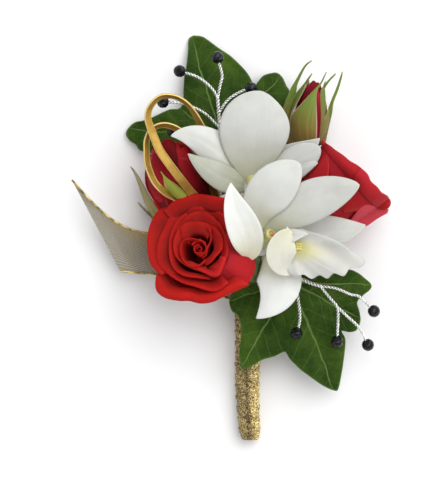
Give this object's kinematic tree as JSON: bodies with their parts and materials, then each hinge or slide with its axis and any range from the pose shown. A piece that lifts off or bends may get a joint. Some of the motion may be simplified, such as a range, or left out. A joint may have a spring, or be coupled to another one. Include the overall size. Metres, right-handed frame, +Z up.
{
  "type": "boutonniere",
  "caption": "Boutonniere of red roses, white orchids and ivy with beaded wire sprays, flat gold loops, a sheer ribbon tail and a gold wrapped stem handle, lying on its back.",
  "frame": {"origin": "middle of the bounding box at its base, on the surface that the bunch lies on", "axes": "+Y from the handle's cut end to the top leaf's tip, +X to the right of a viewer who looks down on the blooms, +Z up from the surface"},
  "size_m": [0.0965, 0.1271, 0.0336],
  "materials": {
    "rose_red": "soft velvety petal",
    "bud_crimson": "soft velvety petal",
    "orchid_white": "waxy petal",
    "orchid_lip": "waxy petal, yellow callus",
    "orchid_column": "waxy",
    "ivy_green": "leathery leaf, semi-gloss",
    "sepal_green": "matte leaf",
    "tape_green": "waxed floral tape",
    "gold_wrap": "metallic glitter ribbon",
    "gold_strap": "flat gold strap, satin",
    "silver_wire": "bright twisted wire",
    "black_bead": "dark faceted crystal",
    "mesh_ribbon": "sheer woven mesh with gold edges"
  },
  "bodies": {
    "root": {"upper_spray_wire": "silver_wire", "lower_spray_wire": "silver_wire", "taped_stems": "tape_green", "stem_wrap": "gold_wrap", "gold_loop_outer": "gold_strap", "gold_loop_inner": "gold_strap", "open_rose_calyx": "sepal_green", "side_rose_calyx": "sepal_green", "right_rose_calyx": "sepal_green", "small_bud_calyx": "sepal_green", "upper_orchid_column": "orchid_column", "lower_orchid_column": "orchid_column", "lower_orchid_lip": "orchid_lip", "lower_orchid_tepals": "orchid_white", "upper_orchid_tepals": "orchid_white", "ivy_leaf_upper": "ivy_green", "ivy_leaf_lower": "ivy_green", "ribbon_tail": "mesh_ribbon", "small_bud_petals": "bud_crimson", "side_rose_petals": "bud_crimson", "open_rose_petals": "rose_red", "right_rose_petals": "rose_red", "upper_bead_1": "black_bead", "upper_bead_2": "black_bead", "upper_bead_3": "black_bead", "upper_bead_4": "black_bead", "upper_bead_5": "black_bead", "lower_bead_1": "black_bead", "lower_bead_2": "black_bead", "lower_bead_3": "black_bead", "lower_bead_4": "black_bead"}
  },
  "joints": []
}
